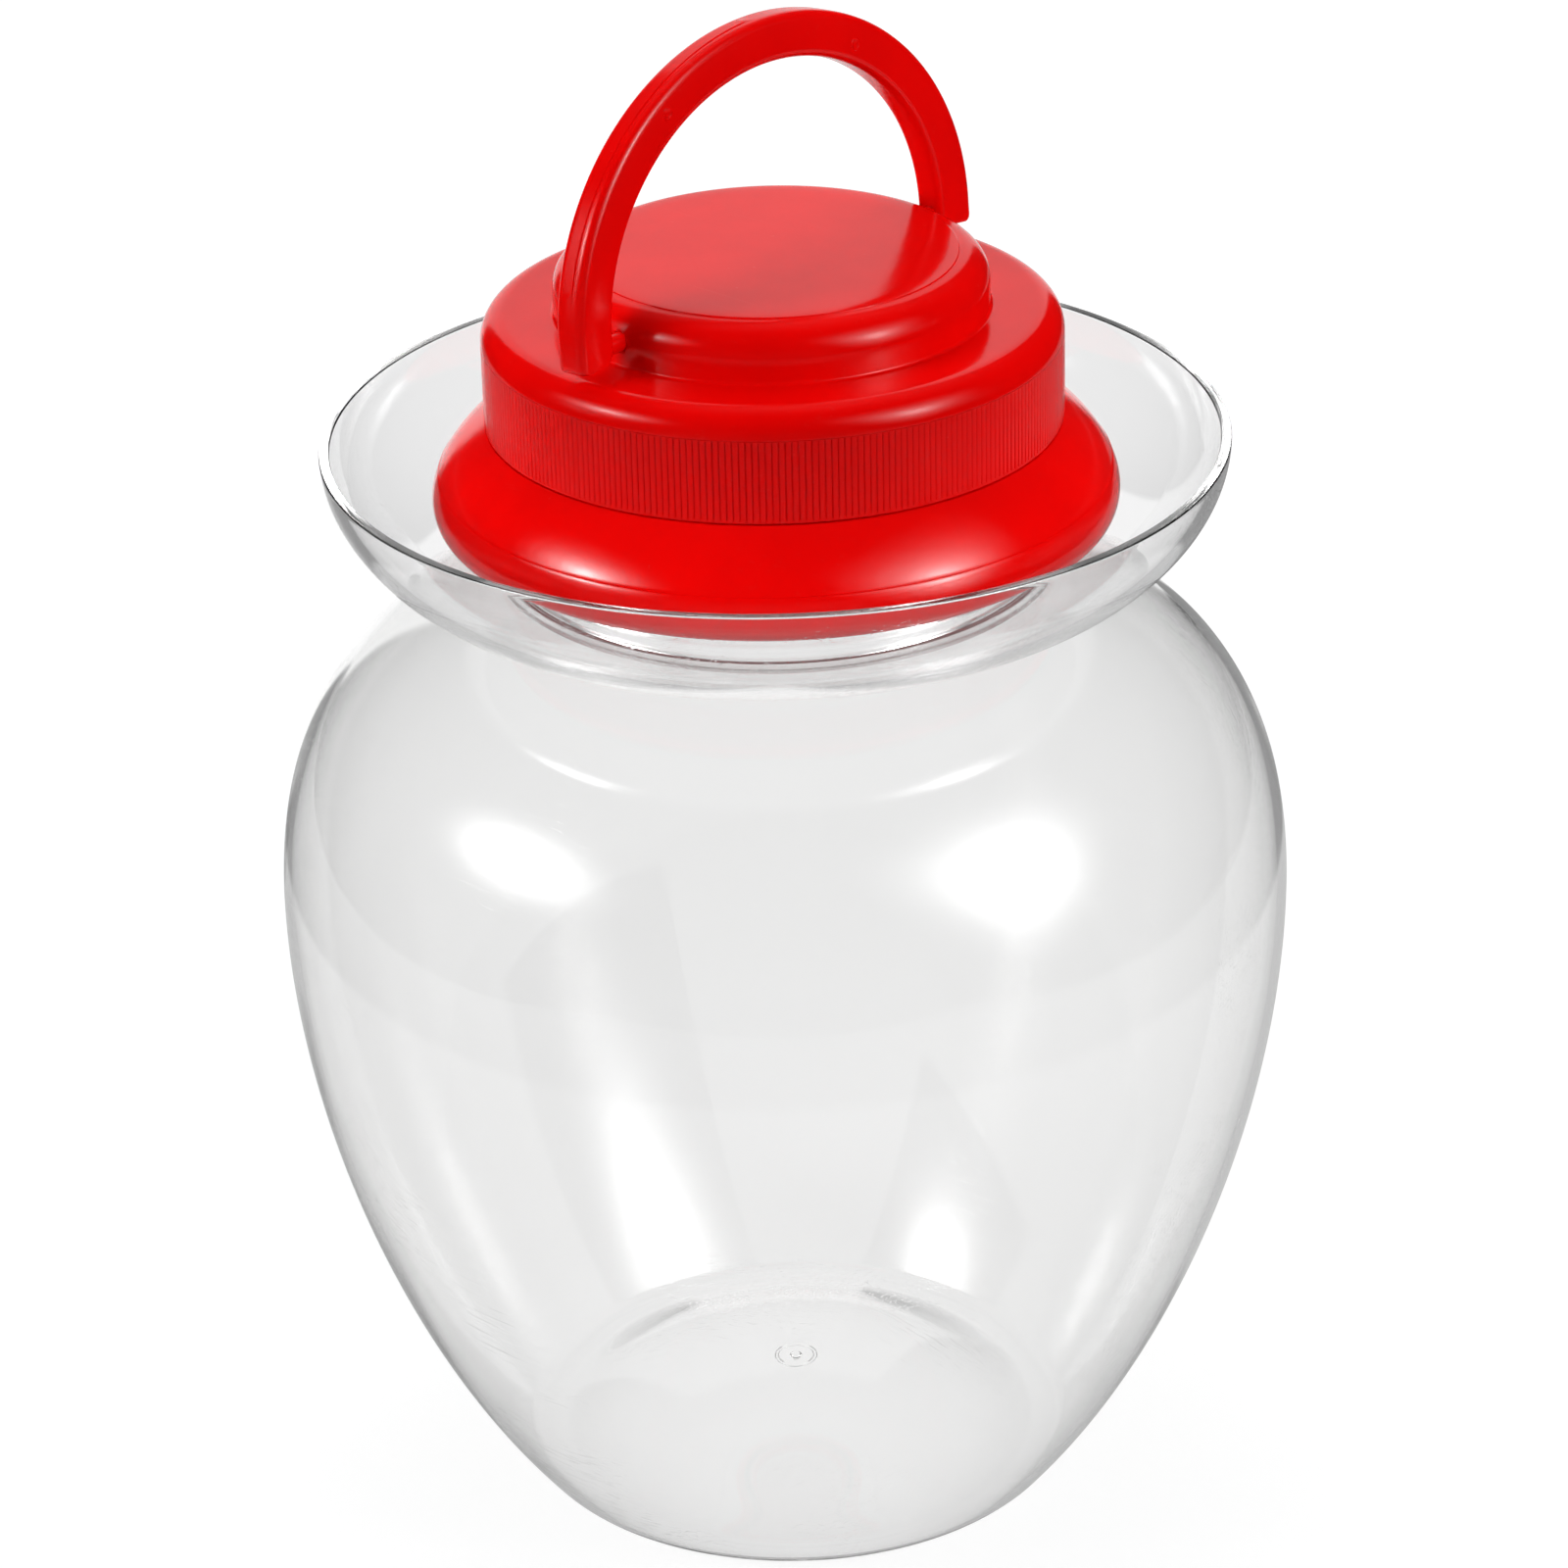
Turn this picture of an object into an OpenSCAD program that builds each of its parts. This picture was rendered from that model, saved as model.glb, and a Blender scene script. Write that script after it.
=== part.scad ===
// Water-seal fermentation jar: a clear belly jar with a clear moat dish pressed on its neck,
// a red bell that stands in the moat, and a red screw cap with a fold-down carry handle.
// The jar stands on z = 0 on its own axis, and the handle's pivots lie along X.

/* [Jar] */
// Radius of the belly at its widest
belly_r = 105.8; // [100:0.1:112]
// Height of the widest point of the belly
belly_z = 135; // [125:1:145]
// Wall thickness of the clear jar
jar_wall = 2; // [1.6:0.1:2.4]
// Outer radius of the flat ring that the jar stands on
foot_r = 57; // [54:0.5:60]
// Width of that flat ring
foot_w = 4; // [3:0.5:6]
// Radius of the rounded heel
heel_r = 5; // [4:0.5:6]
// Height that the middle of the base is pushed up
push_up = 14; // [8:0.5:18]

/* [Neck] */
// Height of the flat seat round the foot of the neck
seat_z = 204.8; // [203:0.1:207]
// Outer radius of that seat
seat_r = 58.2; // [57.5:0.1:60]
// Outer radius of the neck
neck_r = 54; // [53.5:0.1:54.5]
// Wall thickness of the neck
neck_wall = 3; // [2.5:0.1:3.5]
// Height of the neck's lip
lip_z = 238.2; // [236:0.1:240]

/* [Moat dish] */
// Outer radius of the dish's rim
rim_r = 92.8; // [88:0.1:98]
// Height of the dish's rim
rim_z = 236; // [230:0.5:238]
// Wall thickness of the dish
dish_wall = 2.2; // [1.8:0.1:2.6]
// Height of the collar that grips the neck
grip_collar_h = 7; // [6:0.5:9]
// Thickness of the gasket under the dish
gasket_h = 2; // [1.5:0.1:2.5]

/* [Bell] */
// Radius of the bell at its widest
bell_r = 70.3; // [69:0.1:72]
// Height of the bell's widest point
bell_z = 224.2; // [222.5:0.1:226]
// Height of the bell's lower edge
bell_edge_z = 219; // [217:0.1:219.5]
// Wall thickness of the bell
bell_wall = 2; // [1.8:0.1:2.2]
// Outer radius of the bell's collar, which carries the cap
collar_r = 56; // [55.5:0.1:56.2]
// Wall thickness of the bell's collar
collar_wall = 2.8; // [2.4:0.1:3.2]

/* [Cap] */
// Outer radius of the cap over its grip ribs
cap_r = 59; // [58.6:0.1:60]
// Height of the cap's flat over the bell
cap_h = 23.3; // [22.8:0.1:25]
// Number of fine grip ribs round the cap
rib_count = 288; // [240:8:320]
// Depth of the grip ribs
rib_depth = 0.4; // [0.3:0.05:0.5]
// Height of the ribbed band
rib_h = 16.6; // [12:0.1:17]
// Radius of the cap's rounded corner
corner_r = 5.5; // [4:0.1:5.6]
// Radius of the raised drum
drum_r = 44.1; // [43:0.1:45]
// Height of the drum over the flat
drum_h = 11.6; // [11.6:0.1:13]
// Radius of the drum's rounded shoulder
drum_round = 6.3; // [5:0.1:7]
// Wall thickness of the cap
cap_wall = 2.1; // [1.8:0.1:2.2]
// Thickness of the foam liner
liner_h = 1.5; // [1:0.1:2]

/* [Handle] */
// Half of the clear width between the handle's legs
grip_half_w = 48.2; // [47:0.1:49]
// Clear height of the handle's arch over its legs
grip_rise = 43.4; // [43:0.1:46]
// Width of the handle's legs
leg_w = 9.9; // [9:0.1:10.4]
// Width of the handle's section at its crown
grip_w = 9.3; // [8:0.1:9.8]
// Thickness of the handle's section
grip_t = 7; // [6:0.1:7.4]
// Radius of the handle's long edges
grip_round = 1.8; // [1:0.1:2.2]
// Height of the pivots over the flat
pivot_h = 5.2; // [5:0.1:5.4]
// Height of the straight legs over the pivots
leg_rise = 1.5; // [1.3:0.1:4]
// Length of the legs below the pivots, at their outer corner
leg_drop = 2.9; // [2.7:0.1:3]
// Radius of the pivot pins
pin_r = 2; // [1.8:0.1:2.1]
// Lean of the handle from upright, as it stands by its own friction
lean = 3.8; // [0:0.1:10]

/* [Hidden] */
$fn = 96;

// Steps along a long curve and round a small one
long_steps = 18;
round_steps = 8;
// Radial clearance of pieces that turn in or are pushed on one another
fit = 0.05;

// Jar
foot_in_r = foot_r - foot_w;
heel_angle = 52;
bore_r = neck_r - neck_wall;
crotch_r = 2.5;
lip_round = 0.8;
bead_r = 0.8;

// Moat dish
dish_z = seat_z + gasket_h;
dish_foot_r = seat_r + 1.8;
grip_collar_in_r = neck_r + fit;
grip_collar_r = grip_collar_in_r + dish_wall;
grip_collar_top = dish_z + grip_collar_h;
grip_collar_round = 0.8;
floor_round = 2;
rim_round = 0.4;

// Bell
ledge_top = lip_z + bell_wall;
ledge_in_r = bore_r + 0.2;
bell_edge_r = bell_r - 3.7;
collar_in_r = collar_r - collar_wall;

// Cap
skirt_z = ledge_top + 0.3;
skirt_in_r = cap_r - cap_wall;
rib_root_r = cap_r - rib_depth;
rib_tip_r = cap_r - 0.05;
rib_pitch = 360 / rib_count;
rib_bed_r = rib_root_r - 0.2;
rib_bite = 0.4;
rib_z = skirt_z + 0.6;
flat_z = ledge_top + cap_h;
roof_z = flat_z - cap_wall;
collar_top = roof_z - liner_h;
drum_top = flat_z + drum_h;
disc_r = drum_r - drum_round;
disc_step = 0.3;
drum_fillet = 0.7;
hollow_r = drum_r - cap_wall;
hollow_top = drum_top - cap_wall;
hollow_round = drum_round - cap_wall;

// Handle
pivot_z = flat_z + pivot_h;
leg_mid_x = grip_half_w + leg_w / 2;
leg_h = leg_rise + leg_drop;
foot_round = 1.4;
foot_in_round = 2.4;
foot_slant = 0.7;
arch_r = grip_half_w + leg_w;
arch_oval = (grip_rise + grip_w) / arch_r;
gap_oval = grip_rise / grip_half_w;
pin_head_x = hollow_r - 1.2;
pin_head_r = pin_r + 0.5;
pin_head_l = 1.6;

clear_plastic = [0.9, 0.93, 0.94, 0.35];
clear_silicone = [0.92, 0.92, 0.9, 0.7];
red_plastic = [0.85, 0.03, 0.02];
white_foam = [0.95, 0.95, 0.93];

// Point of a cubic curve at t, and its direction there
function curve_at(p, t) =
    pow(1 - t, 3) * p[0] + 3 * t * pow(1 - t, 2) * p[1] + 3 * t * t * (1 - t) * p[2] + pow(t, 3) * p[3];
function heading_at(p, t) =
    pow(1 - t, 2) * (p[1] - p[0]) + 2 * t * (1 - t) * (p[2] - p[1]) + t * t * (p[3] - p[2]);

// Points along a cubic curve, and points a wall's thickness to the left of it
function curve(p, n = long_steps) = [for (i = [0 : n]) curve_at(p, i / n)];
function left_of(p, wall, n = long_steps) =
    [for (i = [0 : n]) let (d = heading_at(p, i / n)) curve_at(p, i / n) + wall * [-d[1], d[0]] / norm(d)];

function arc(centre, r, from, to, n = round_steps) =
    [for (i = [0 : n]) let (a = from + (to - from) * i / n) centre + r * [cos(a), sin(a)]];
function reversed(points) = [for (i = [len(points) - 1 : -1 : 0]) points[i]];
function rounded_box(w, h, r) = concat(
    arc([w / 2 - r, h / 2 - r], r, 0, 90),
    arc([r - w / 2, h / 2 - r], r, 90, 180),
    arc([r - w / 2, r - h / 2], r, 180, 270),
    arc([w / 2 - r, r - h / 2], r, 270, 360));

// Curves of the jar's wall, from the middle of the base up to the seat
heel_centre = [foot_r, heel_r];
heel_end = heel_centre + heel_r * [sin(heel_angle), -cos(heel_angle)];
base_curve = [[0, push_up], [0.64 * foot_in_r, push_up], [0.87 * foot_in_r, 0], [foot_in_r, 0]];
flank_curve = [
    heel_end,
    heel_end + 45 * [cos(heel_angle), sin(heel_angle)],
    [belly_r, belly_z - 43.4],
    [belly_r, belly_z]];
shoulder_curve = [
    [belly_r, belly_z],
    [belly_r, belly_z + 42.2],
    [seat_r + 28.5, seat_z - 12.2],
    [seat_r, seat_z]];

// Curves of the dish's underside and of the bell's outside
dish_curve = [
    [dish_foot_r, dish_z],
    [dish_foot_r + 18, dish_z],
    [rim_r, rim_z - 14],
    [rim_r, rim_z - rim_round]];
bell_curve = [
    [cap_r, ledge_top],
    [cap_r + 4.5, ledge_top - 3.6],
    [bell_r, bell_z + 6],
    [bell_r, bell_z]];
bell_edge_curve = [
    [bell_r, bell_z],
    [bell_r, bell_z - 2.8],
    [bell_edge_r + 2.4, bell_edge_z + 0.4],
    [bell_edge_r, bell_edge_z]];

module revolve(points) {
    rotate_extrude() polygon(points);
}

module along_x(x) {
    translate([x, 0, pivot_z]) rotate([0, 90, 0]) children();
}

module both_sides() {
    children();
    mirror([1, 0, 0]) children();
}

module jar_body() {
    color(clear_plastic) revolve(concat(
        curve(base_curve),
        arc(heel_centre, heel_r, -90, heel_angle - 90),
        curve(flank_curve),
        curve(shoulder_curve),
        [[neck_r, seat_z], [neck_r, grip_collar_top]],
        arc([neck_r, grip_collar_top + bead_r], bead_r, -90, 90),
        arc([neck_r - lip_round, lip_z - lip_round], lip_round, 0, 90),
        arc([bore_r + lip_round, lip_z - lip_round], lip_round, 90, 180),
        arc([bore_r + crotch_r, seat_z - jar_wall + crotch_r], crotch_r, 180, 270),
        reversed(left_of(shoulder_curve, jar_wall)),
        reversed(left_of(flank_curve, jar_wall)),
        arc(heel_centre, heel_r - jar_wall, heel_angle - 90, -90),
        reversed(left_of(base_curve, jar_wall))));
}

module moat_gasket() {
    color(clear_silicone) translate([0, 0, seat_z]) difference() {
        cylinder(r = seat_r, h = gasket_h);
        translate([0, 0, -1]) cylinder(r = neck_r + fit, h = gasket_h + 2);
    }
}

module moat_dish() {
    color(clear_plastic) revolve(concat(
        [[grip_collar_in_r, dish_z]],
        curve(dish_curve),
        arc([rim_r - rim_round, rim_z - rim_round], rim_round, 0, 90),
        arc([rim_r - dish_wall + rim_round, rim_z - rim_round], rim_round, 90, 180),
        reversed(left_of(dish_curve, dish_wall)),
        arc([grip_collar_r + floor_round, dish_z + dish_wall + floor_round], floor_round, 270, 180),
        arc([grip_collar_r, grip_collar_top] - grip_collar_round * [1, 1], grip_collar_round, 0, 90),
        [[grip_collar_in_r, grip_collar_top]]));
}

module seal_bell() {
    inner_wall = concat(left_of(bell_curve, -bell_wall), left_of(bell_edge_curve, -bell_wall));
    color(red_plastic) revolve(concat(
        [[ledge_in_r, lip_z], [cap_r - bell_wall, lip_z]],
        [for (p = inner_wall) if (p[1] < lip_z - bell_wall / 4) p],
        reversed(curve(bell_edge_curve)),
        reversed(curve(bell_curve)),
        [[collar_r, ledge_top], [collar_r, collar_top], [collar_in_r, collar_top]],
        [[collar_in_r, ledge_top], [ledge_in_r, ledge_top]]));
}

module cap_liner() {
    color(white_foam) translate([0, 0, collar_top]) cylinder(r = skirt_in_r - 0.4, h = liner_h);
}

module cap_shell() {
    revolve(concat(
        [[skirt_in_r, skirt_z], [cap_r, skirt_z]],
        [[cap_r, rib_z], [rib_bed_r, rib_z], [rib_bed_r, rib_z + rib_h], [cap_r, rib_z + rib_h]],
        arc([cap_r - corner_r, flat_z - corner_r], corner_r, 0, 90),
        arc([drum_r + drum_fillet, flat_z + drum_fillet], drum_fillet, 270, 180),
        arc([disc_r, drum_top - disc_step - drum_round], drum_round, 0, 90),
        [[disc_r, drum_top], [0, drum_top], [0, hollow_top]],
        arc([hollow_r - hollow_round, hollow_top - hollow_round], hollow_round, 90, 0),
        [[hollow_r, roof_z], [skirt_in_r, roof_z]]));
}

module grip_ribs() {
    rib = [[-0.3, rib_root_r], [-0.12, rib_tip_r], [0.12, rib_tip_r], [0.3, rib_root_r]];
    outline = [for (i = [1 : rib_count], p = rib)
        let (a = (i + p[0]) * rib_pitch) p[1] * [cos(a), sin(a)]];
    translate([0, 0, rib_z - rib_bite]) linear_extrude(rib_h + 2 * rib_bite) difference() {
        polygon(outline);
        circle(r = rib_bed_r - rib_bite);
    }
}

module screw_cap() {
    color(red_plastic) difference() {
        union() {
            cap_shell();
            grip_ribs();
        }
        both_sides() along_x(hollow_r - 2) cylinder(r = pin_r + fit, h = cap_wall + 4);
    }
}

module oval_disc() {
    edge = grip_t / 2 - grip_round;
    scale([1, arch_oval, 1]) revolve(concat(
        [[0, -grip_t / 2]],
        arc([arch_r - grip_round, -edge], grip_round, -90, 0),
        arc([arch_r - grip_round, edge], grip_round, 0, 90),
        [[0, grip_t / 2]]));
}

module oval_gap() {
    edge = grip_t / 2 - grip_round;
    flare_r = grip_half_w + grip_round;
    scale([1, gap_oval, 1]) revolve(concat(
        [[0, -grip_t], [flare_r, -grip_t]],
        arc([flare_r, -edge], grip_round, 270, 180),
        arc([flare_r, edge], grip_round, 180, 90),
        [[flare_r, grip_t], [0, grip_t]]));
}

module handle_arch() {
    translate([0, 0, pivot_z + leg_rise]) rotate([90, 0, 0]) intersection() {
        difference() {
            oval_disc();
            oval_gap();
        }
        translate([-arch_r - 1, 0, -grip_t]) cube([2 * arch_r + 2, arch_r, 2 * grip_t]);
    }
}

module handle_leg() {
    foot_outline = concat(
        arc([foot_in_round - leg_w / 2, foot_in_round + foot_slant], foot_in_round, 180, 270),
        arc([leg_w / 2 - foot_round, foot_round], foot_round, 270, 360),
        [[leg_w / 2, leg_h], [-leg_w / 2, leg_h]]);
    translate([leg_mid_x, 0, pivot_z - leg_drop]) intersection() {
        linear_extrude(leg_h) polygon(rounded_box(leg_w, grip_t, grip_round));
        rotate([90, 0, 0]) linear_extrude(grip_t + 2, center = true) polygon(foot_outline);
    }
}

module snap_pin() {
    along_x(pin_head_x) cylinder(r = pin_r, h = leg_mid_x - pin_head_x);
    along_x(pin_head_x - pin_head_l) cylinder(r1 = pin_r - 0.5, r2 = pin_head_r, h = pin_head_l);
}

module carry_handle() {
    color(red_plastic) translate([0, 0, pivot_z]) rotate([-lean, 0, 0]) translate([0, 0, -pivot_z]) {
        handle_arch();
        both_sides() handle_leg();
        both_sides() snap_pin();
    }
}

jar_body();
moat_gasket();
moat_dish();
seal_bell();
cap_liner();
screw_cap();
carry_handle();
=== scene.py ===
import math

import bmesh
import bpy
from mathutils import Matrix, Vector


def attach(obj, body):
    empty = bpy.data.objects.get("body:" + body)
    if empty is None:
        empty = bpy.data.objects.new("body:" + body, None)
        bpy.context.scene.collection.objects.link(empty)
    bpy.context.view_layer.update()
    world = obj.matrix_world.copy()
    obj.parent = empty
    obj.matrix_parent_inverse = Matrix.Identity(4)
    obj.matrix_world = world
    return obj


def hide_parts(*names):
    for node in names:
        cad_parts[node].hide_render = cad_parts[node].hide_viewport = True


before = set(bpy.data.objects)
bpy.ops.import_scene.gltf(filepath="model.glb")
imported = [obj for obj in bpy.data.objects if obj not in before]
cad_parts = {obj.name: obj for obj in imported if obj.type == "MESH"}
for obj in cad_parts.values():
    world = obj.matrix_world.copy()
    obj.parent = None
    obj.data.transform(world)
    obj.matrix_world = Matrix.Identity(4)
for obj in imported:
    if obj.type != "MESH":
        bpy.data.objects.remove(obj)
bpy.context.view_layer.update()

# The pieces are drawn in millimetres, as the part's source is, and turned into metres at the end
MM = 0.001

# Sizes shared with the part's source
BELLY_R, BELLY_Z, JAR_WALL = 105.8, 135.0, 2.0
FOOT_R, FOOT_IN_R, HEEL_R, HEEL_ANGLE, PUSH_UP = 57.0, 53.0, 5.0, 52.0, 14.0
SEAT_Z, SEAT_R, NECK_R, BORE_R, LIP_Z = 204.8, 58.2, 54.0, 51.0, 238.2
RIM_R, RIM_Z, RIM_ROUND, DISH_WALL, DISH_Z, DISH_FOOT_R = 92.8, 236.0, 0.4, 2.2, 206.8, 60.0
GRIP_COLLAR_IN_R, GRIP_COLLAR_R, GRIP_COLLAR_TOP = 54.05, 56.25, 213.8
BELL_R, BELL_Z, BELL_EDGE_Z, BELL_EDGE_R, BELL_WALL = 70.3, 224.2, 219.0, 66.6, 2.0
LEDGE_TOP, LEDGE_IN_R, COLLAR_R, COLLAR_IN_R, COLLAR_TOP = 240.2, 51.2, 56.0, 53.2, 259.9
CAP_R, SKIRT_Z, SKIRT_IN_R, FLAT_Z, CAP_WALL, CORNER_R = 59.0, 240.5, 56.9, 263.5, 2.1, 5.5
RIB_ROOT_R, RIB_Z, RIB_H, RIB_COUNT = 58.6, 241.1, 16.6, 288
DRUM_R, DRUM_TOP, DRUM_ROUND, DRUM_FILLET, DISC_STEP = 44.1, 275.1, 6.3, 0.7, 0.3
PIVOT_Z, PIN_R, PIN_BORE_R, PIN_HEAD_X = 268.7, 2.0, 2.05, 40.8
PIN_BORE_X, PIN_BORE_DEPTH = 38.5, 8
GRIP_HALF_W, GRIP_RISE, LEG_W, GRIP_W, GRIP_T, GRIP_ROUND, LEAN = 48.2, 43.4, 9.9, 9.3, 7.0, 1.8, 3.8
LEG_RISE, LEG_DROP, FOOT_ROUND, FOOT_IN_ROUND, FOOT_SLANT = 1.5, 2.9, 1.4, 2.4, 0.7
THREAD_LEAD = 6.0

# How far the curves of the jar's and the dish's outlines reach from their ends, as in the part's source
FLANK_REACH, FLANK_BELLY_REACH, SHOULDER_BELLY_REACH = 45.0, 43.4, 42.2
SHOULDER_SEAT_REACH = (28.5, 12.2)
DISH_FLOOR_REACH, DISH_RIM_REACH = 18.0, 14.0

# Small forms that only the scene has
PARTING_Z, PARTING_DEPTH, PARTING_WIDTH = 229.3, 0.10, 0.22
BELL_THREAD_Z, BELL_THREAD_SWEEP, BELL_THREAD_REACH = 244.0, 560, 0.65
CAP_THREAD_Z, CAP_THREAD_SWEEP, CAP_THREAD_REACH = 246.6, 480, -0.6
GROOVE_DEPTH, GROOVE_END = 0.25, 0.45
EJECTOR_MARKS = ((-29.0, 311.4), (25.7, 311.4))  # on the handle's face, before it leans

# The photograph was taken from the left of the handle's front, and the studio is laid out round that view
VIEW_TURN = math.radians(47.0)
CAMERA_PLACE, CAMERA_AIM = (0.16, -1006.35, 647.86), (0.16, 0, 155.83)
FOCAL_LENGTH, CAMERA_ROLL = 122.32, -1.363
LAMP_AIM_Z = 200
DEEP_LEVEL = 0.5  # what rays see that were mirrored deep inside the clear walls


def studio(x, y, z):
    """A place in the studio, where the camera looks along +Y, as a place in the part's frame, in metres."""
    return Matrix.Rotation(-VIEW_TURN, 3, "Z") @ Vector((x, y, z)) * MM


# Shader maths

class Wire:
    """A shader's socket: arithmetic on wires adds Math nodes, and add() brings in any other node."""

    def __init__(self, tree, socket=None):
        self.tree, self.socket = tree, socket

    def add(self, kind, settings=None, sockets=None, output=0):
        node = self.tree.nodes.new("ShaderNode" + kind)
        for name, value in (settings or {}).items():
            setattr(node, name, value)
        for name, value in (sockets or {}).items():
            if isinstance(value, Wire):
                self.tree.links.new(value.socket, node.inputs[name])
            else:
                node.inputs[name].default_value = value
        return Wire(self.tree, node.outputs[output])

    def math(self, operation, *values):
        return self.add("Math", {"operation": operation}, dict(enumerate(values)))

    def __add__(self, other): return self.math("ADD", self, other)
    def __radd__(self, other): return self.math("ADD", other, self)
    def __sub__(self, other): return self.math("SUBTRACT", self, other)
    def __rsub__(self, other): return self.math("SUBTRACT", other, self)
    def __mul__(self, other): return self.math("MULTIPLY", self, other)
    def __rmul__(self, other): return self.math("MULTIPLY", other, self)

    def least(self, other): return self.math("MINIMUM", self, other)
    def most(self, other): return self.math("MAXIMUM", self, other)

    def ease(self, start, stop):
        """0 before start and 1 after stop, with a soft passage; start may be the larger."""
        low, high = min(start, stop), max(start, stop)
        share = self.add("MapRange", {"interpolation_type": "SMOOTHSTEP"},
                         {"Value": self, "From Min": low, "From Max": high})
        return share if start < stop else 1 - share

    def blend(self, colour_a, colour_b):
        """colour_a where this wire is 0, colour_b where it is 1."""
        return self.add("Mix", {"data_type": "RGBA"}, {0: self, 6: colour_a, 7: colour_b}, output=2)

    def stretched(self, scale, turn=(0, 0, 0)):
        return self.add("Mapping", None, {"Vector": self, "Scale": scale, "Rotation": turn})

    def noise(self, scale, detail=2.0, rough=0.5):
        return self.add("TexNoise", None,
                        {"Vector": self, "Scale": scale, "Detail": detail, "Roughness": rough})

    def parts(self):
        """The three components of a vector."""
        node = self.add("SeparateXYZ", None, {"Vector": self}).socket.node
        return [Wire(self.tree, socket) for socket in node.outputs]


def finish(name, fixed, varied):
    """A material: fixed holds the shader's even values, varied(place) the wires that change over it."""
    material = bpy.data.materials.new(name)
    material.use_nodes = True
    tree = material.node_tree
    shader = next(n for n in tree.nodes if n.type == "BSDF_PRINCIPLED")
    for socket, value in fixed.items():
        shader.inputs[socket].default_value = value
    place = Wire(tree).add("TexCoord", output=3)
    for socket, wire in varied(place).items():
        tree.links.new(wire.socket, shader.inputs[socket])
    return material


def scratches(place, fineness, rarity):
    """Fine short lines in three directions, 1 on a line and 0 beside it."""
    lines = None
    for turn in (0.3, 1.4, 2.5):
        along = place.stretched((fineness, fineness / 40, fineness), (turn, 0.6 * turn, 1.7 * turn))
        line = along.noise(1.0, 1.0).ease(rarity, rarity + 0.05)
        lines = line if lines is None else lines.most(line)
    return lines * place.noise(35.0, 1.0).ease(0.45, 0.6)


def bump(height, distance, strength=1.0):
    return height.add("Bump", None, {"Height": height, "Distance": distance, "Strength": strength})


RED_DUST = (0.80, 0.10, 0.08, 1)


def red_plastic(name, depth, gloss, shine):
    """Glossy red moulded plastic with faint flow marks, fine scratches and a little dust."""
    # How light the red is set holds painted light: lit copies of one red, lighter on the bell and the handle
    # than on the cap.
    red, deep_red = (depth, 0.0011, 0.0008, 1), (0.92 * depth, 0.0007, 0.0006, 1)

    def varied(place):
        flow = place.stretched((1, 1, 0.35)).noise(42.0, 3.0)
        peel = place.noise(320.0, 2.0)
        grain = place.noise(2600.0, 1.0)
        lines = scratches(place, 900.0, 0.7)
        dust = place.noise(700.0, 0.0).ease(0.88, 0.92)
        tone = flow.ease(0.3, 0.7).blend(red, deep_red)
        return {
            "Base Color": (dust * 0.12 + lines * 0.03).blend(tone, RED_DUST),
            "Roughness": gloss + 0.05 * flow + 0.08 * lines + 0.10 * dust,
            "Normal": bump(peel * 0.8 + grain * 0.08 - lines * 0.1, 0.00003),
        }
    return finish(name, {"IOR": 1.5, "Specular IOR Level": shine}, varied)


def clear_plastic(name, tint, wave):
    """Clear polished plastic with a slow ripple, hair scratches and faint rubbed patches."""
    def varied(place):
        ripple = place.stretched((1, 1, 0.6)).noise(28.0, 1.0)
        lines = scratches(place, 1100.0, 0.69)
        rub = place.noise(60.0, 4.0, 0.65).ease(0.6, 0.8)
        return {
            "Roughness": 0.004 + 0.07 * lines + 0.02 * rub,
            "Normal": bump(ripple * wave - lines * 0.08, 0.00008),
        }
    return finish(name, {"Base Color": tint, "IOR": 1.52, "Transmission Weight": 1.0}, varied)


def silicone(name):
    """Clear soft silicone with a fine moulded grain. It wets the faces it is pressed on, so it hardly shows."""
    def varied(place):
        cloud = place.noise(90.0, 3.0)
        grain = place.noise(1800.0, 2.0)
        return {
            "Base Color": cloud.blend((0.99, 0.99, 0.99, 1), (0.97, 0.97, 0.97, 1)),
            "Roughness": 0.02 + 0.04 * cloud,
            "Normal": bump(grain, 0.00002),
        }
    return finish(name, {"IOR": 1.08, "Transmission Weight": 1.0}, varied)


def foam(name):
    """White closed-cell foam."""
    def varied(place):
        cells = place.add("TexVoronoi", None, {"Vector": place, "Scale": 1900.0})
        blotch = place.noise(120.0, 2.0)
        return {
            "Base Color": blotch.blend((0.88, 0.88, 0.86, 1), (0.80, 0.80, 0.77, 1)),
            "Roughness": 0.75 + 0.2 * cells,
            "Normal": bump(cells, 0.00015),
        }
    return finish(name, {"IOR": 1.45}, varied)


# Outlines of turned pieces, as (radius, height)

def arc(centre, radius, start, stop, steps=14):
    turns = [math.radians(start + (stop - start) * i / steps) for i in range(steps + 1)]
    return [(centre[0] + radius * math.cos(a), centre[1] + radius * math.sin(a)) for a in turns]


def cubic(points, steps=56, wall=0.0):
    """Points along a cubic curve, moved a wall's thickness to its left."""
    p = [Vector(q) for q in points]
    found = []
    for i in range(steps + 1):
        t = i / steps
        s = 1 - t
        at = s ** 3 * p[0] + 3 * t * s * s * p[1] + 3 * t * t * s * p[2] + t ** 3 * p[3]
        way = (s * s * (p[1] - p[0]) + 2 * t * s * (p[2] - p[1]) + t * t * (p[3] - p[2])).normalized()
        found.append((at.x - wall * way.y, at.y + wall * way.x))
    return found


def straight(a, b, steps):
    return [(a[0] + (b[0] - a[0]) * i / steps, a[1] + (b[1] - a[1]) * i / steps) for i in range(steps + 1)]


def cleaned(outline):
    """The outline with no point twice in a row."""
    kept = [outline[0]]
    for q in outline[1:]:
        if math.dist(q, kept[-1]) > 1e-4:
            kept.append(q)
    if math.dist(kept[0], kept[-1]) < 1e-4:
        kept.pop()
    return kept


# Meshes

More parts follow.
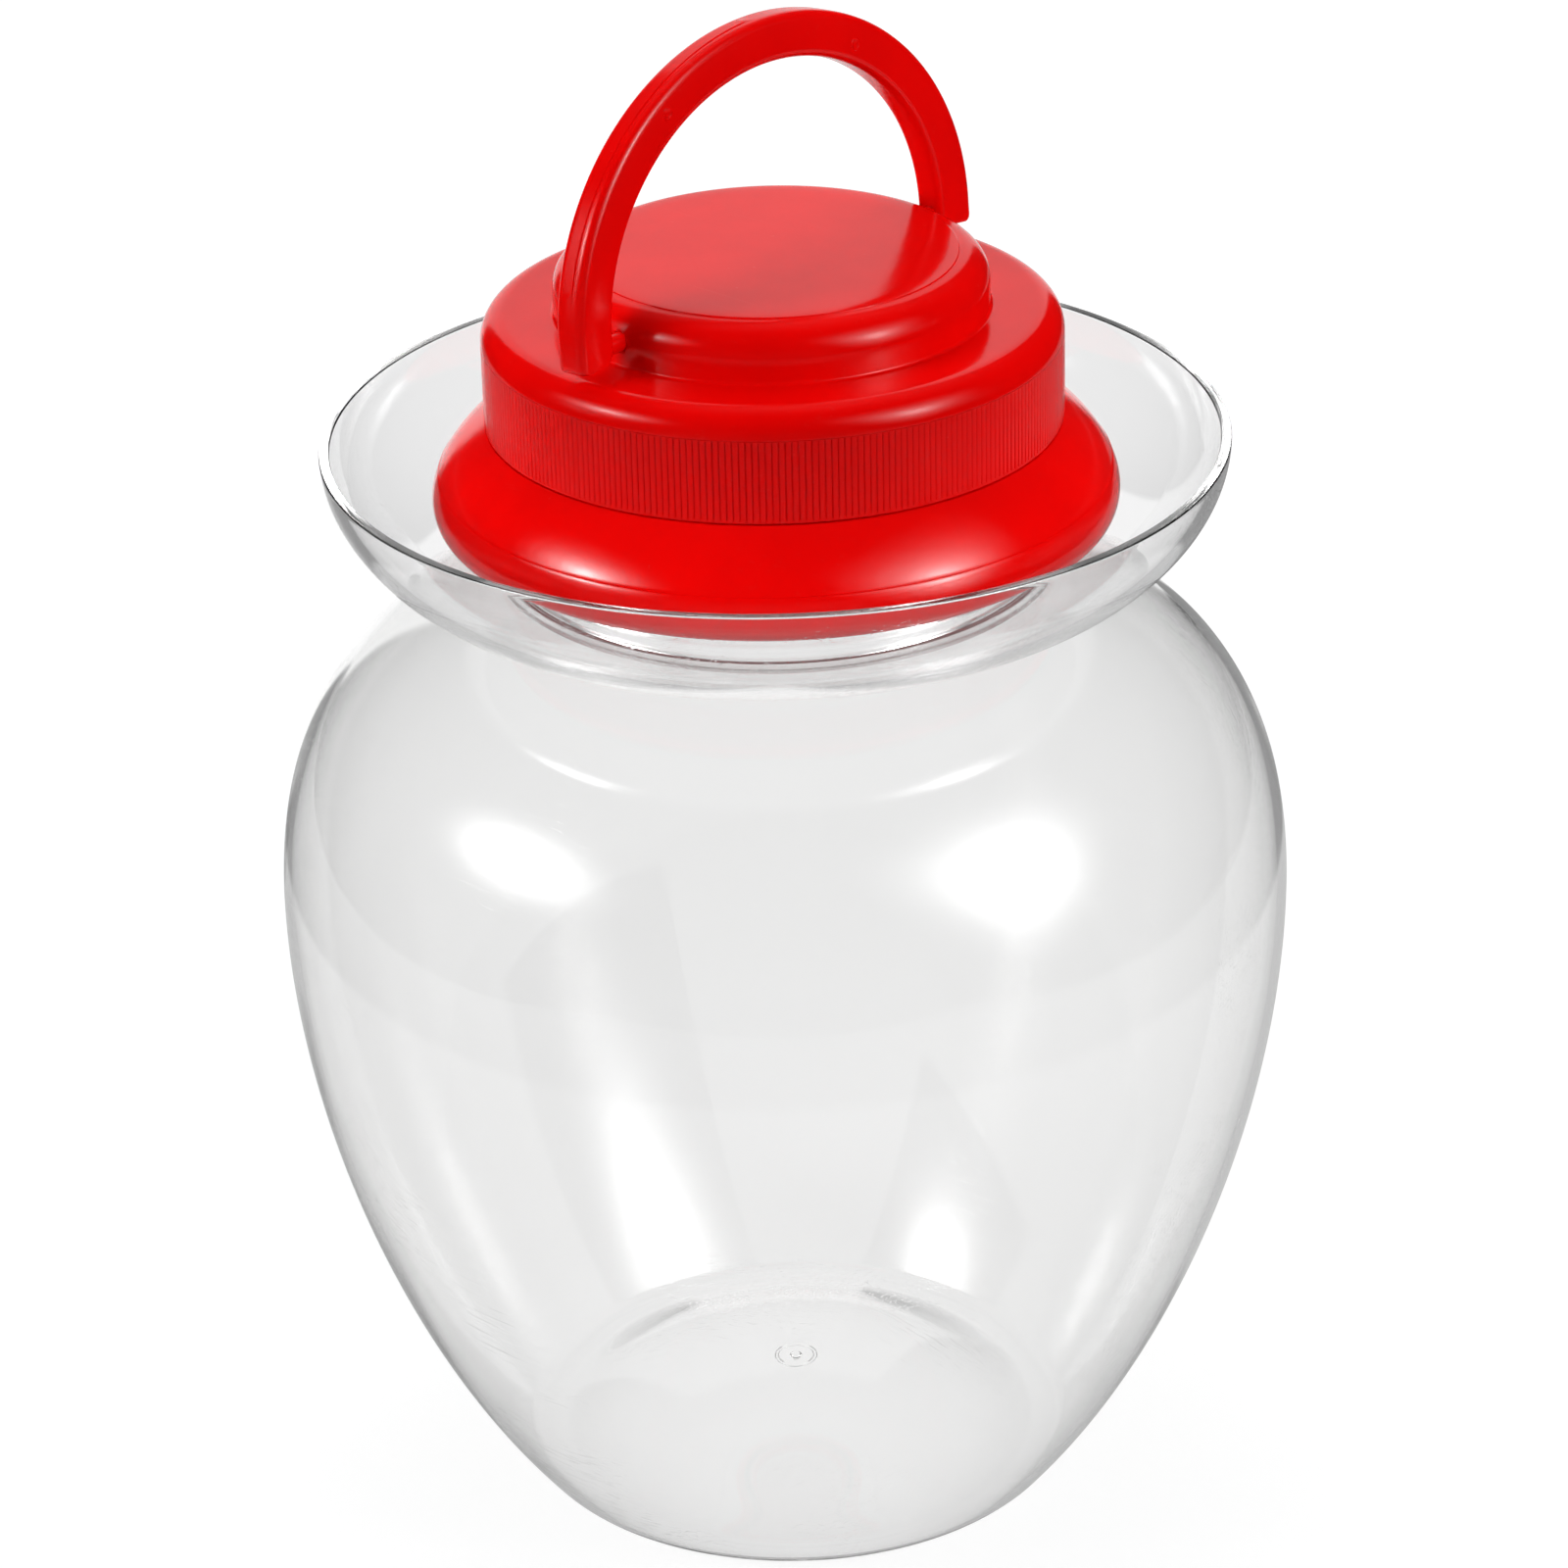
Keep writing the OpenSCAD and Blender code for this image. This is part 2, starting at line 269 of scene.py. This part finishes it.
def into_object(name, mesh_maker, material):
    mesh = bpy.data.meshes.new(name)
    mesh_maker.normal_update()
    mesh_maker.to_mesh(mesh)
    mesh_maker.free()
    mesh.transform(Matrix.Scale(MM, 4))
    mesh.materials.append(material)
    piece = bpy.data.objects.new(name, mesh)
    bpy.context.scene.collection.objects.link(piece)
    return piece


def crease(shape, angle):
    """Smooth faces, with hard edges where they meet at more than the angle."""
    bmesh.ops.recalc_face_normals(shape, faces=shape.faces)
    for face in shape.faces:
        face.smooth = True
    for edge in shape.edges:
        edge.smooth = len(edge.link_faces) == 2 and edge.calc_face_angle(0) < math.radians(angle)


def turned(shape, outline, turns, ripple=None, place=None):
    """Adds a turned solid to a mesh. A point's third value scales the wall's ripple(angle, height)."""
    place = place or Matrix.Identity(4)
    rings = []
    for r, z, *sway in outline:
        if r < 1e-6:
            rings.append([shape.verts.new(place @ Vector((0, 0, z)))])
            continue
        ring = []
        for k in range(turns):
            a = 2 * math.pi * k / turns
            out = r + (sway[0] * ripple(a, z) if sway else 0)
            ring.append(shape.verts.new(place @ Vector((out * math.cos(a), out * math.sin(a), z))))
        rings.append(ring)
    for low, high in zip(rings, rings[1:] + rings[:1]):
        for k in range(turns):
            n = (k + 1) % turns
            if len(low) > 1 and len(high) > 1:
                shape.faces.new((low[k], low[n], high[n], high[k]))
            elif len(low) > 1:
                shape.faces.new((low[k], low[n], high[0]))
            elif len(high) > 1:
                shape.faces.new((low[0], high[n], high[k]))


def turned_piece(name, outline, material, turns=256, angle=28, ripple=None):
    shape = bmesh.new()
    turned(shape, cleaned(outline), turns, ripple)
    crease(shape, angle)
    return into_object(name, shape, material)


def dressed(piece, body, slot, *nodes):
    """The piece rides on its body and stands for CAD nodes, which it hides. The slot is not used."""
    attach(piece, body)
    if nodes:
        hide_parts(*nodes)
    return piece


# Jar

def jar_ripple(angle, height):
    """The slow unevenness of the moulded wall's inner face, in millimetres."""
    return (0.05 * math.sin(2 * angle + 0.8 + height / 60) + 0.04 * math.sin(3 * angle - height / 35)
            + 0.025 * math.sin(9 * angle + height / 40) + 0.012 * math.sin(21 * angle - height / 25))


def make_jar(material):
    heel = (FOOT_R, HEEL_R)
    lean = math.radians(HEEL_ANGLE)
    heel_end = (heel[0] + HEEL_R * math.sin(lean), heel[1] - HEEL_R * math.cos(lean))
    base = [(0, PUSH_UP), (0.64 * FOOT_IN_R, PUSH_UP), (0.87 * FOOT_IN_R, 0), (FOOT_IN_R, 0)]
    flank = [heel_end,
             (heel_end[0] + FLANK_REACH * math.cos(lean), heel_end[1] + FLANK_REACH * math.sin(lean)),
             (BELLY_R, BELLY_Z - FLANK_BELLY_REACH), (BELLY_R, BELLY_Z)]
    shoulder = [(BELLY_R, BELLY_Z), (BELLY_R, BELLY_Z + SHOULDER_BELLY_REACH),
                (SEAT_R + SHOULDER_SEAT_REACH[0], SEAT_Z - SHOULDER_SEAT_REACH[1]), (SEAT_R, SEAT_Z)]
    gate = [(0, PUSH_UP - 0.9), (0.7, PUSH_UP - 0.9), (1.1, PUSH_UP - 0.5), (1.3, PUSH_UP),
            (3.7, PUSH_UP), (3.9, PUSH_UP - 0.35), (4.4, PUSH_UP - 0.35), (4.6, PUSH_UP)]
    outside = (gate + cubic(base)[5:] + arc(heel, HEEL_R, -90, HEEL_ANGLE - 90) + cubic(flank) + cubic(shoulder)
               + [(NECK_R, SEAT_Z), (NECK_R, GRIP_COLLAR_TOP)]
               + arc((NECK_R - 0.8, LIP_Z - 0.8), 0.8, 0, 90))
    mouth = (arc((BORE_R + 0.8, LIP_Z - 0.8), 0.8, 90, 180)
             + arc((BORE_R + 2.5, SEAT_Z - JAR_WALL + 2.5), 2.5, 180, 270))
    wall = cubic(shoulder, wall=JAR_WALL)[::-1] + cubic(flank, wall=JAR_WALL)[::-1]
    bottom = arc(heel, HEEL_R - JAR_WALL, HEEL_ANGLE - 90, -90) + cubic(base, wall=JAR_WALL)[::-1]
    ends = [min(1.0, i / 8, (len(wall) - 1 - i) / 8) for i in range(len(wall))]
    outline = ([(r, z, 0.0) for r, z in outside + mouth] + [(r, z, k) for (r, z), k in zip(wall, ends)]
               + [(r, z, 0.0) for r, z in bottom])
    jar = turned_piece("jar_body_clear", outline, material, 288, ripple=jar_ripple)
    return dressed(jar, "jar", "clear_jar", "jar_body")


def make_dish(material):
    under = [(DISH_FOOT_R, DISH_Z), (DISH_FOOT_R + DISH_FLOOR_REACH, DISH_Z),
             (RIM_R, RIM_Z - DISH_RIM_REACH), (RIM_R, RIM_Z - RIM_ROUND)]
    outline = ([(GRIP_COLLAR_IN_R, DISH_Z)] + cubic(under)
               + arc((RIM_R - RIM_ROUND, RIM_Z - RIM_ROUND), RIM_ROUND, 0, 90, 6)
               + arc((RIM_R - DISH_WALL + RIM_ROUND, RIM_Z - RIM_ROUND), RIM_ROUND, 90, 180, 6)
               + cubic(under, wall=DISH_WALL)[::-1]
               + arc((GRIP_COLLAR_R + 2, DISH_Z + DISH_WALL + 2), 2, 270, 180)
               + arc((GRIP_COLLAR_R - 2, GRIP_COLLAR_TOP - 3.2), 2, 0, 45)
               + [(GRIP_COLLAR_IN_R, GRIP_COLLAR_TOP)])
    return dressed(turned_piece("moat_dish_clear", outline, material, 288), "jar", "clear_dish", "moat_dish")


def make_gasket(material):
    low, high = SEAT_Z + 0.02, DISH_Z - 0.02
    outline = (arc((SEAT_R - 0.4, low + 0.4), 0.4, -90, 0, 6) + arc((SEAT_R - 0.4, high - 0.4), 0.4, 0, 90, 6)
               + [(GRIP_COLLAR_IN_R, high), (GRIP_COLLAR_IN_R, low)])
    return dressed(turned_piece("moat_gasket_ring", outline, material, 192), "jar", "silicone", "moat_gasket")


# Lid

def thread_ridge(shape, root_r, reach, start_z, sweep):
    """A helical ridge that stands reach beyond the root radius, and runs out at both ends."""
    steps = int(sweep / 3)
    rows = []
    for i in range(steps + 1):
        turn = math.radians(sweep * i / steps)
        z = start_z + THREAD_LEAD * sweep * i / steps / 360
        grown = min(1.0, i / 8, (steps - i) / 8)
        row = []
        for out, up in ((-0.25, -1.1), (reach * grown, -0.35), (reach * grown, 0.35), (-0.25, 1.1)):
            r = root_r + (out if reach > 0 or out != -0.25 else 0.25)
            row.append(shape.verts.new((r * math.cos(turn), r * math.sin(turn), z + up * max(grown, 0.3))))
        rows.append(row)
    for low, high in zip(rows, rows[1:]):
        for k in range(4):
            shape.faces.new((low[k], low[(k + 1) % 4], high[(k + 1) % 4], high[k]))
    shape.faces.new(rows[0])
    shape.faces.new(rows[-1][::-1])


def grooved(outline, z, depth, width):
    """The outline with a fine groove round it at a height."""
    above = [q for q in outline if q[1] > z + width]
    below = [q for q in outline if q[1] < z - width]
    r = (above[-1][0] + below[0][0]) / 2
    return above + [(r, z + width / 2), (r - depth, z), (r, z - width / 2)] + below


def make_bell(material):
    skirt = [(CAP_R, LEDGE_TOP), (CAP_R + 4.5, LEDGE_TOP - 3.6), (BELL_R, BELL_Z + 6), (BELL_R, BELL_Z)]
    edge = [(BELL_R, BELL_Z), (BELL_R, BELL_Z - 2.8),
            (BELL_EDGE_R + 2.4, BELL_EDGE_Z + 0.4), (BELL_EDGE_R, BELL_EDGE_Z)]
    hollow = cubic(skirt, 40, -BELL_WALL) + cubic(edge, 20, -BELL_WALL)
    outside = grooved(cubic(skirt, 40), PARTING_Z, PARTING_DEPTH, PARTING_WIDTH)
    outline = ([(LEDGE_IN_R, LIP_Z), (CAP_R - BELL_WALL, LIP_Z)]
               + [q for q in hollow if q[1] < LIP_Z - BELL_WALL / 4]
               + cubic(edge, 20)[::-1] + outside[::-1]
               + [(COLLAR_R, LEDGE_TOP)] + arc((COLLAR_R - 0.6, COLLAR_TOP - 0.6), 0.6, 0, 90, 5)
               + [(COLLAR_IN_R, COLLAR_TOP), (COLLAR_IN_R, LEDGE_TOP), (LEDGE_IN_R, LEDGE_TOP)])
    shape = bmesh.new()
    turned(shape, cleaned(outline), 256)
    thread_ridge(shape, COLLAR_R, BELL_THREAD_REACH, BELL_THREAD_Z, BELL_THREAD_SWEEP)
    crease(shape, 28)
    return dressed(into_object("seal_bell_red", shape, material), "lid", "red_bell", "seal_bell")


def make_liner(material):
    rim = SKIRT_IN_R - 0.4
    top = COLLAR_TOP + 1.5
    outline = ([(0, COLLAR_TOP)] + arc((rim - 0.3, COLLAR_TOP + 0.3), 0.3, -90, 0, 5)
               + arc((rim - 0.3, top - 0.3), 0.3, 0, 90, 5) + [(0, top)])
    return dressed(turned_piece("cap_liner_foam", outline, material, 192), "liner", "foam", "cap_liner")


def cap_outline():
    roof_z = FLAT_Z - CAP_WALL
    disc_r = DRUM_R - DRUM_ROUND
    hollow_r, hollow_top, hollow_round = DRUM_R - CAP_WALL, DRUM_TOP - CAP_WALL, DRUM_ROUND - CAP_WALL
    return ([(SKIRT_IN_R, SKIRT_Z)] + arc((CAP_R - 0.25, SKIRT_Z + 0.25), 0.25, -90, 0, 4)
            + [(CAP_R, RIB_Z), (RIB_ROOT_R, RIB_Z), (RIB_ROOT_R, RIB_Z + RIB_H)]
            + arc((CAP_R - 0.2, RIB_Z + RIB_H + 0.2), 0.2, -90, 0, 4)
            + arc((CAP_R - CORNER_R, FLAT_Z - CORNER_R), CORNER_R, 0, 90, 20)
            + straight((CAP_R - CORNER_R, FLAT_Z), (DRUM_R + DRUM_FILLET, FLAT_Z), 8)
            + arc((DRUM_R + DRUM_FILLET, FLAT_Z + DRUM_FILLET), DRUM_FILLET, 270, 180, 8)
            + straight((DRUM_R, FLAT_Z + DRUM_FILLET), (DRUM_R, DRUM_TOP - DISC_STEP - DRUM_ROUND), 8)
            + arc((disc_r, DRUM_TOP - DISC_STEP - DRUM_ROUND), DRUM_ROUND, 0, 86, 22)
            + arc((disc_r - 0.15, DRUM_TOP - 0.25), 0.25, 10, 90, 5)
            + straight((disc_r - 0.15, DRUM_TOP), (0, DRUM_TOP), 12)
            + [(0, hollow_top)] + arc((hollow_r - hollow_round, hollow_top - hollow_round), hollow_round, 90, 0)
            + straight((hollow_r, hollow_top - hollow_round), (hollow_r, roof_z), 8) + [(SKIRT_IN_R, roof_z)])


def along_x(x, side):
    """Lays a turned piece along X, its foot at x: on the right for side 1, mirrored to the left for side -1."""
    return (Matrix.Diagonal((side, 1, 1, 1)) @ Matrix.Translation((x, 0, PIVOT_Z))
            @ Matrix.Rotation(math.radians(90), 4, "Y"))


def cut_away(piece, cutter):
    """Takes the cutter's solid out of the piece."""
    cut = piece.modifiers.new("cut", "BOOLEAN")
    cut.object, cut.operation, cut.solver = cutter, "DIFFERENCE", "EXACT"
    bpy.context.view_layer.update()
    made = bpy.data.meshes.new_from_object(piece.evaluated_get(bpy.context.evaluated_depsgraph_get()))
    piece.modifiers.remove(cut)
    piece.data = made
    bpy.data.objects.remove(cutter)


def grip_ribs(shape):
    """Adds the band of fine upright grip ribs, flat on their backs, with grooves that run out at both ends."""
    steps = 7  # for each rib, and the last of them is its groove
    columns = RIB_COUNT * steps
    top = RIB_Z + RIB_H
    inner_r = RIB_ROOT_R - 0.4
    rings = []
    for z, cut in ((RIB_Z, None), (RIB_Z, 0.0), (RIB_Z + GROOVE_END, 1.0),
                   (top - GROOVE_END, 1.0), (top, 0.0), (top, None)):
        ring = []
        for k in range(columns):
            a = 2 * math.pi * k / columns
            in_groove = k % steps == steps - 1
            r = inner_r if cut is None else CAP_R - (GROOVE_DEPTH * cut if in_groove else 0)
            ring.append(shape.verts.new((r * math.cos(a), r * math.sin(a), z)))
        rings.append(ring)
    for low, high in zip(rings, rings[1:] + rings[:1]):
        for k in range(columns):
            n = (k + 1) % columns
            shape.faces.new((low[k], low[n], high[n], high[k]))


def make_cap(material):
    shape = bmesh.new()
    turned(shape, cleaned(cap_outline()), 320)
    crease(shape, 28)
    shell = into_object("cap_shell", shape, material)
    bores = bmesh.new()
    sides = 40
    half_step = Matrix.Rotation(math.pi / sides, 4, "Z")  # keeps the cutter's corners off the shell's own
    for side in (1, -1):
        turned(bores, [(0, 0), (PIN_BORE_R, 0), (PIN_BORE_R, PIN_BORE_DEPTH), (0, PIN_BORE_DEPTH)], sides,
               place=along_x(PIN_BORE_X, side) @ half_step)
    crease(bores, 28)
    cut_away(shell, into_object("bore_cutter", bores, material))
    shape = bmesh.new()
    grip_ribs(shape)
    thread_ridge(shape, SKIRT_IN_R, CAP_THREAD_REACH, CAP_THREAD_Z, CAP_THREAD_SWEEP)
    crease(shape, 40)
    bmesh.ops.scale(shape, vec=(MM,) * 3, verts=shape.verts)
    shape.from_mesh(shell.data)
    bmesh.ops.scale(shape, vec=(1 / MM,) * 3, verts=shape.verts)
    bpy.data.objects.remove(shell)
    return dressed(into_object("screw_cap_red", shape, material), "cap", "red_cap", "screw_cap")


# Handle

def handle_section(land):
    """The handle's section as (depth from the inner face, place across), with a land on the outer face."""
    w, h, r = GRIP_W, GRIP_T / 2, GRIP_ROUND
    return (arc((w - r, r - h), r, -90, 0, 6)
            + [(w, -1.3), (w + land, -1.05), (w + land, 1.05), (w, 1.3)]
            + arc((w - r, h - r), r, 0, 90, 6) + arc((r, h - r), r, 90, 180, 6)
            + arc((r, r - h), r, 180, 270, 6))


def land_height(angle):
    """The land runs from the crown down the left leg and dies out there."""
    if angle < 93:
        return 0.0
    return 0.22 * min(1.0, max(0.0, (176 - angle) / 14))


def handle_stations():
    """Rows from the right foot over the crown to the left foot: the section's two ends, and its land."""
    spring = PIVOT_Z + LEG_RISE
    foot_z = PIVOT_Z - LEG_DROP
    middle = ((FOOT_IN_ROUND + LEG_W - FOOT_ROUND) / 2, FOOT_SLANT / 2)
    inner = (arc((FOOT_IN_ROUND, FOOT_IN_ROUND + FOOT_SLANT), FOOT_IN_ROUND, 180, 270, 10)
             + straight((FOOT_IN_ROUND, FOOT_SLANT), (middle[0] - 0.05, middle[1]), 4)[1:])
    inner_top = FOOT_IN_ROUND + FOOT_SLANT
    outer = ([(LEG_W, inner_top - (inner_top - FOOT_ROUND) * i / 4) for i in range(4)]
             + arc((LEG_W - FOOT_ROUND, FOOT_ROUND), FOOT_ROUND, 0, -90, 6)
             + straight((LEG_W - FOOT_ROUND, 0), (middle[0] + 0.05, middle[1]), 4)[1:])
    foot = [((GRIP_HALF_W + i[0], foot_z + i[1]), (GRIP_HALF_W + o[0], foot_z + o[1]))
            for i, o in zip(inner, outer)]
    rows = [(pair, 0.0) for pair in foot[::-1]]
    steps = 120
    for k in range(steps + 1):
        angle = 180 * k / steps
        c, s = math.cos(math.radians(angle)), math.sin(math.radians(angle))
        rows.append((((GRIP_HALF_W * c, spring + GRIP_RISE * s),
                      ((GRIP_HALF_W + LEG_W) * c, spring + (GRIP_RISE + GRIP_W) * s)), land_height(angle)))
    rows += [((tuple((-x, z) for x, z in pair)), 0.0) for pair in foot]
    return rows


def make_handle(material):
    shape = bmesh.new()
    rings = []
    for ((x0, z0), (x1, z1)), land in handle_stations():
        ring = []
        for depth, across in handle_section(land):
            share = depth / GRIP_W
            ring.append(shape.verts.new((x0 + (x1 - x0) * share, across, z0 + (z1 - z0) * share)))
        rings.append(ring)
    count = len(rings[0])
    for low, high in zip(rings, rings[1:]):
        for k in range(count):
            shape.faces.new((low[k], low[(k + 1) % count], high[(k + 1) % count], high[k]))
    shape.faces.new(rings[0])
    shape.faces.new(rings[-1][::-1])
    for side in (1, -1):
        turned(shape, [(0, -1.6), (PIN_R - 0.5, -1.6), (PIN_R + 0.5, 0), (PIN_R, 0), (PIN_R, 10), (0, 10)],
               40, place=along_x(PIN_HEAD_X, side))
    mark = [(0, 0.06), (0.85, 0.06), (1.0, 0.12), (1.2, 0.12), (1.35, 0.0), (1.35, -0.3), (0, -0.3)]
    for x, z in EJECTOR_MARKS:
        to_face = Matrix.Translation((x, -GRIP_T / 2, z)) @ Matrix.Rotation(math.radians(90), 4, "X")
        turned(shape, mark, 40, place=to_face)
    crease(shape, 28)
    lean = (Matrix.Translation((0, 0, PIVOT_Z)) @ Matrix.Rotation(math.radians(-LEAN), 4, "X")
            @ Matrix.Translation((0, 0, -PIVOT_Z)))
    bmesh.ops.transform(shape, matrix=lean, verts=shape.verts)
    return dressed(into_object("carry_handle_red", shape, material), "handle", "red_handle", "carry_handle")


def make_object():
    clear_jar = clear_plastic("clear_jar_plastic", (0.985, 0.985, 0.983, 1), 0.25)
    clear_dish = clear_plastic("clear_dish_plastic", (0.995, 0.994, 0.995, 1), 0.15)
    make_jar(clear_jar)
    make_dish(clear_dish)
    make_gasket(silicone("gasket_silicone"))
    # Painted light: the bell's and the handle's reds are set lighter than the cap's, as lit copies of one red
    # plastic; the bell's stands in for light thrown up to it through the clear dish.
    make_bell(red_plastic("red_bell_plastic", 0.89, 0.09, 0.5))
    make_liner(foam("liner_foam"))
    make_cap(red_plastic("red_cap_plastic", 0.80, 0.10, 0.2))
    make_handle(red_plastic("red_handle_plastic", 0.84, 0.14, 0.3))


# Studio

def make_camera():
    lens = bpy.data.cameras.new("camera")
    lens.sensor_width, lens.lens = 36.0, FOCAL_LENGTH
    lens.clip_start, lens.clip_end = 0.05, 50.0
    camera = bpy.data.objects.new("camera", lens)
    bpy.context.scene.collection.objects.link(camera)
    camera.location = studio(*CAMERA_PLACE)
    aim = studio(*CAMERA_AIM) - camera.location
    camera.rotation_mode = "QUATERNION"
    roll = Matrix.Rotation(math.radians(CAMERA_ROLL), 3, "Z").to_quaternion()
    camera.rotation_quaternion = aim.to_track_quat("-Z", "Y") @ roll
    bpy.context.scene.camera = camera


def soft_box(name, azimuth, height_angle, width, height, glow, taper=0.0, mirrored=True, reach=1000.0):
    """A soft box, brightest in its middle, seen from the lid in a direction whose azimuth runs from the
    camera to its right. Its width and height are in metres, and its reach from the lid in millimetres."""
    a, e = math.radians(azimuth), math.radians(height_angle)
    aim = Vector((math.sin(a) * math.cos(e), -math.cos(a) * math.cos(e), math.sin(e))) * reach
    material = bpy.data.materials.new(name)
    material.use_nodes = True
    tree = material.node_tree
    tree.nodes.remove(next(n for n in tree.nodes if n.type == "BSDF_PRINCIPLED"))
    x, y, z = Wire(tree).add("TexCoord", output=3).parts()
    up = y * (2 / height)
    across = x * (2 / width) * (1 - up * taper)
    spread = across * across + up * up
    halo, core = (spread.math("EXPONENT", spread * steepness) for steepness in (-5.0, -30.0))
    lit = (0.4 * halo + 0.6 * core).blend((0, 0, 0, 1), (1, 1, 1, 1))
    light = lit.add("Emission", None, {"Color": lit, "Strength": glow})
    tree.links.new(light.socket, next(n for n in tree.nodes if n.type == "OUTPUT_MATERIAL").inputs["Surface"])
    shape = bmesh.new()
    bmesh.ops.create_grid(shape, x_segments=2, y_segments=2, size=0.5)
    bmesh.ops.scale(shape, vec=(width / MM, height / MM, 1), verts=shape.verts)
    panel = into_object(name, shape, material)
    panel.location = studio(aim.x, aim.y, aim.z + LAMP_AIM_Z)
    panel.rotation_mode = "QUATERNION"
    panel.rotation_quaternion = (studio(0, 0, LAMP_AIM_Z) - panel.location).to_track_quat("Z", "Y")
    panel.visible_camera = False
    panel.visible_glossy = panel.visible_transmission = mirrored


def in_studio(x, y):
    """The wires x and y of the part's frame, as those to the right and to the back of the studio."""
    turn_c, turn_s = math.cos(VIEW_TURN), math.sin(VIEW_TURN)
    return x * turn_c - y * turn_s, x * turn_s + y * turn_c


def light_path(tree):
    """Kinds of ray, 1 or 0: the camera's own, one straight through clear plastic, one that was mirrored
    before, and one that was mirrored deep inside several clear walls."""
    path = Wire(tree).add("LightPath").socket.node.outputs
    camera, through, glossy, mirrors, walls = (Wire(tree, path[name]) for name in (
        "Is Camera Ray", "Is Transmission Ray", "Is Glossy Ray", "Glossy Depth", "Transmission Depth"))
    mirrored = glossy * mirrors.least(1.0)
    return camera, through * (1 - mirrors.least(1.0)), mirrored, mirrored * (walls - 3.0).most(0.0).least(1.0)


def backdrop_reach(side, back):
    """1 in the directions that the white backdrop fills, 0 beside it."""
    turn = side.math("ARCTAN2", side, back)
    return turn.ease(-0.47, -0.43) * turn.ease(0.32, 0.28)


def make_floor():
    """White paper under the jar, which keeps the jar's shadow and ends outside the picture. It glows, with a
    painted pool of light under the jar and a painted glow that only mirrors see.
    """
    shape = bmesh.new()
    half, near, far, under = 700.0, -900.0, 1300.0, -0.15
    shape.faces.new([shape.verts.new(studio(x, y, under) / MM)
                     for x, y in ((-half, near), (half, near), (half, far), (-half, far))])
    material = bpy.data.materials.new("white_paper")
    material.use_nodes = True
    tree = material.node_tree
    shader = next(n for n in tree.nodes if n.type == "BSDF_PRINCIPLED")
    shader.inputs["Roughness"].default_value = 0.9
    shader.inputs["Specular IOR Level"].default_value = 0.0
    shader.inputs["Emission Strength"].default_value = 1.0
    place = Wire(tree).add("TexCoord", output=3)
    away = place.add("VectorMath", {"operation": "LENGTH"}, {0: place}, output=1)
    x, y, z = place.parts()
    camera, through, mirrored, deep = light_path(tree)
    # Painted light: the paper glows whiter further off, where the lamps reach it less. Seen through the clear
    # plastic, it glows brightest right under the jar, a painted pool of light that stands in for the light the
    # clear jar lets through.
    paper_glow_with_painted_pool = camera * (0.90 + 0.09 * away.ease(0.2, 0.9)) + through * (0.81 + 0.10 * away.ease(0.10, 0.03))
    # Painted reflection: in mirrors the paper glows on its own, brighter in a disc round the jar and where the
    # backdrop stands, and at a set level for rays mirrored deep inside the clear walls.
    reflected = (0.18 + 0.25 * away.ease(0.37, 0.35)).most(0.90 * backdrop_reach(*in_studio(x, y)))
    glow_in_mirrors = (mirrored * reflected).most(DEEP_LEVEL * deep)
    fibres = place.noise(400.0, 3.0)
    colour = fibres.blend((0.13, 0.13, 0.13, 1), (0.15, 0.15, 0.15, 1))
    glow = (paper_glow_with_painted_pool + glow_in_mirrors).blend((0, 0, 0, 1), (1, 1, 1, 1))
    tree.links.new(colour.socket, shader.inputs["Base Color"])
    tree.links.new(glow.socket, shader.inputs["Emission Color"])
    floor = into_object("paper_floor", shape, material)


def make_world():
    """White behind the jar; for mirrored rays and light, a white backdrop with a dim room round it."""
    world = bpy.data.worlds.new("studio")
    bpy.context.scene.world = world
    world.use_nodes = True
    tree = world.node_tree
    x, y, z = Wire(tree).add("TexCoord", output=0).parts()
    side, back = in_studio(x, y)
    backdrop = 0.84 * backdrop_reach(side, back) * z.ease(0.72, 0.62)
    room = 0.012 + 0.06 * z.ease(0.4, 0.0) * back.ease(-0.3, -0.7)
    camera, through, mirrored, deep = light_path(tree)
    level = backdrop.most(room).most(DEEP_LEVEL * deep).most(camera + through)
    background = next(n for n in tree.nodes if n.type == "BACKGROUND")
    background.inputs["Strength"].default_value = 1.0
    tree.links.new(level.blend((0, 0, 0, 1), (1, 1, 1, 1)).socket, background.inputs["Color"])


def make_lamps():
    """Two soft boxes that show in the gloss, and three fills that only light the surfaces."""
    soft_box("soft_box_left", -68, 28, 1.05, 0.66, 25.0)
    soft_box("soft_box_right", 56, 26, 1.10, 1.35, 19.0, taper=0.45)
    soft_box("fill_left", -75, 14, 0.8, 0.7, 31.0, mirrored=False)
    soft_box("fill_right", 75, 12, 0.8, 0.7, 10.0, mirrored=False)
    soft_box("back_light", 180, 60, 2.4, 2.4, 5.6, mirrored=False)


def make_looks():
    """Plain colours, and enough bounces for light to leave the clear walls again."""
    scene = bpy.context.scene
    scene.view_settings.view_transform = "Standard"
    scene.cycles.max_bounces = scene.cycles.transmission_bounces = scene.cycles.glossy_bounces = 32


make_camera()
make_object()
make_floor()
make_world()
make_lamps()
make_looks()

bpy.context.view_layer.update()
